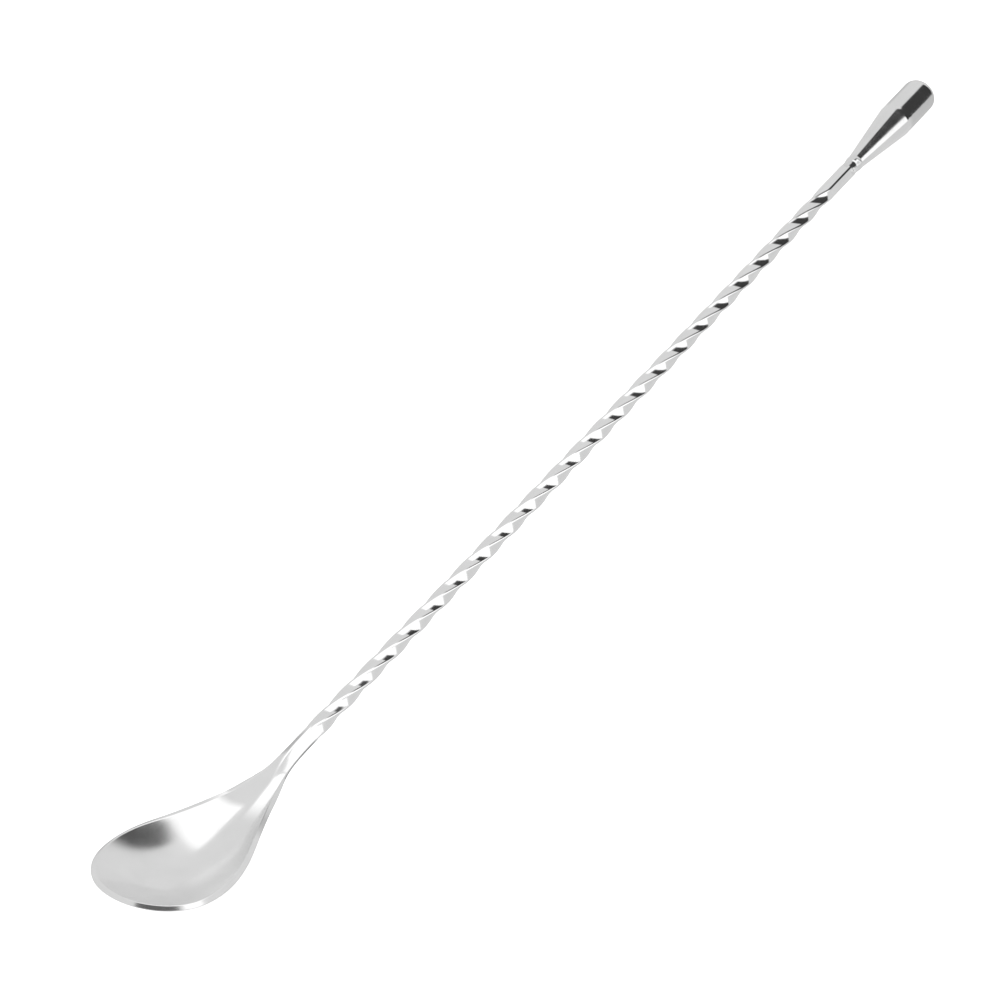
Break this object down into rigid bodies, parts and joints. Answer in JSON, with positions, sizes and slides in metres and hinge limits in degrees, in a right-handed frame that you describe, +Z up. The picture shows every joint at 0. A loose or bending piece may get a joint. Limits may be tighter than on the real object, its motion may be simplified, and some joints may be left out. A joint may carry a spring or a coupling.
{
  "type": "bar spoon",
  "caption": "Long stirring spoon with a teardrop bowl, a twisted square shaft and a drop-shaped counterweight at the far end.",
  "frame": {"origin": "centre of the spoon's footprint, on the surface it rests on", "axes": "+X along the shaft from the bowl to the counterweight, +Z up out of the open bowl"},
  "size_m": [0.32, 0.026, 0.0153],
  "materials": {
    "polished_steel": "polished stainless steel, fine polishing marks",
    "turned_steel": "turned and polished stainless steel with fine round tool marks",
    "weld_steel": "small lumpy weld bead, polished over"
  },
  "bodies": {
    "root": {"spoon_bowl": "polished_steel", "neck_weld": "polished_steel", "twisted_shaft": "polished_steel", "weight_weld": "weld_steel", "end_weight": "turned_steel"}
  },
  "joints": []
}
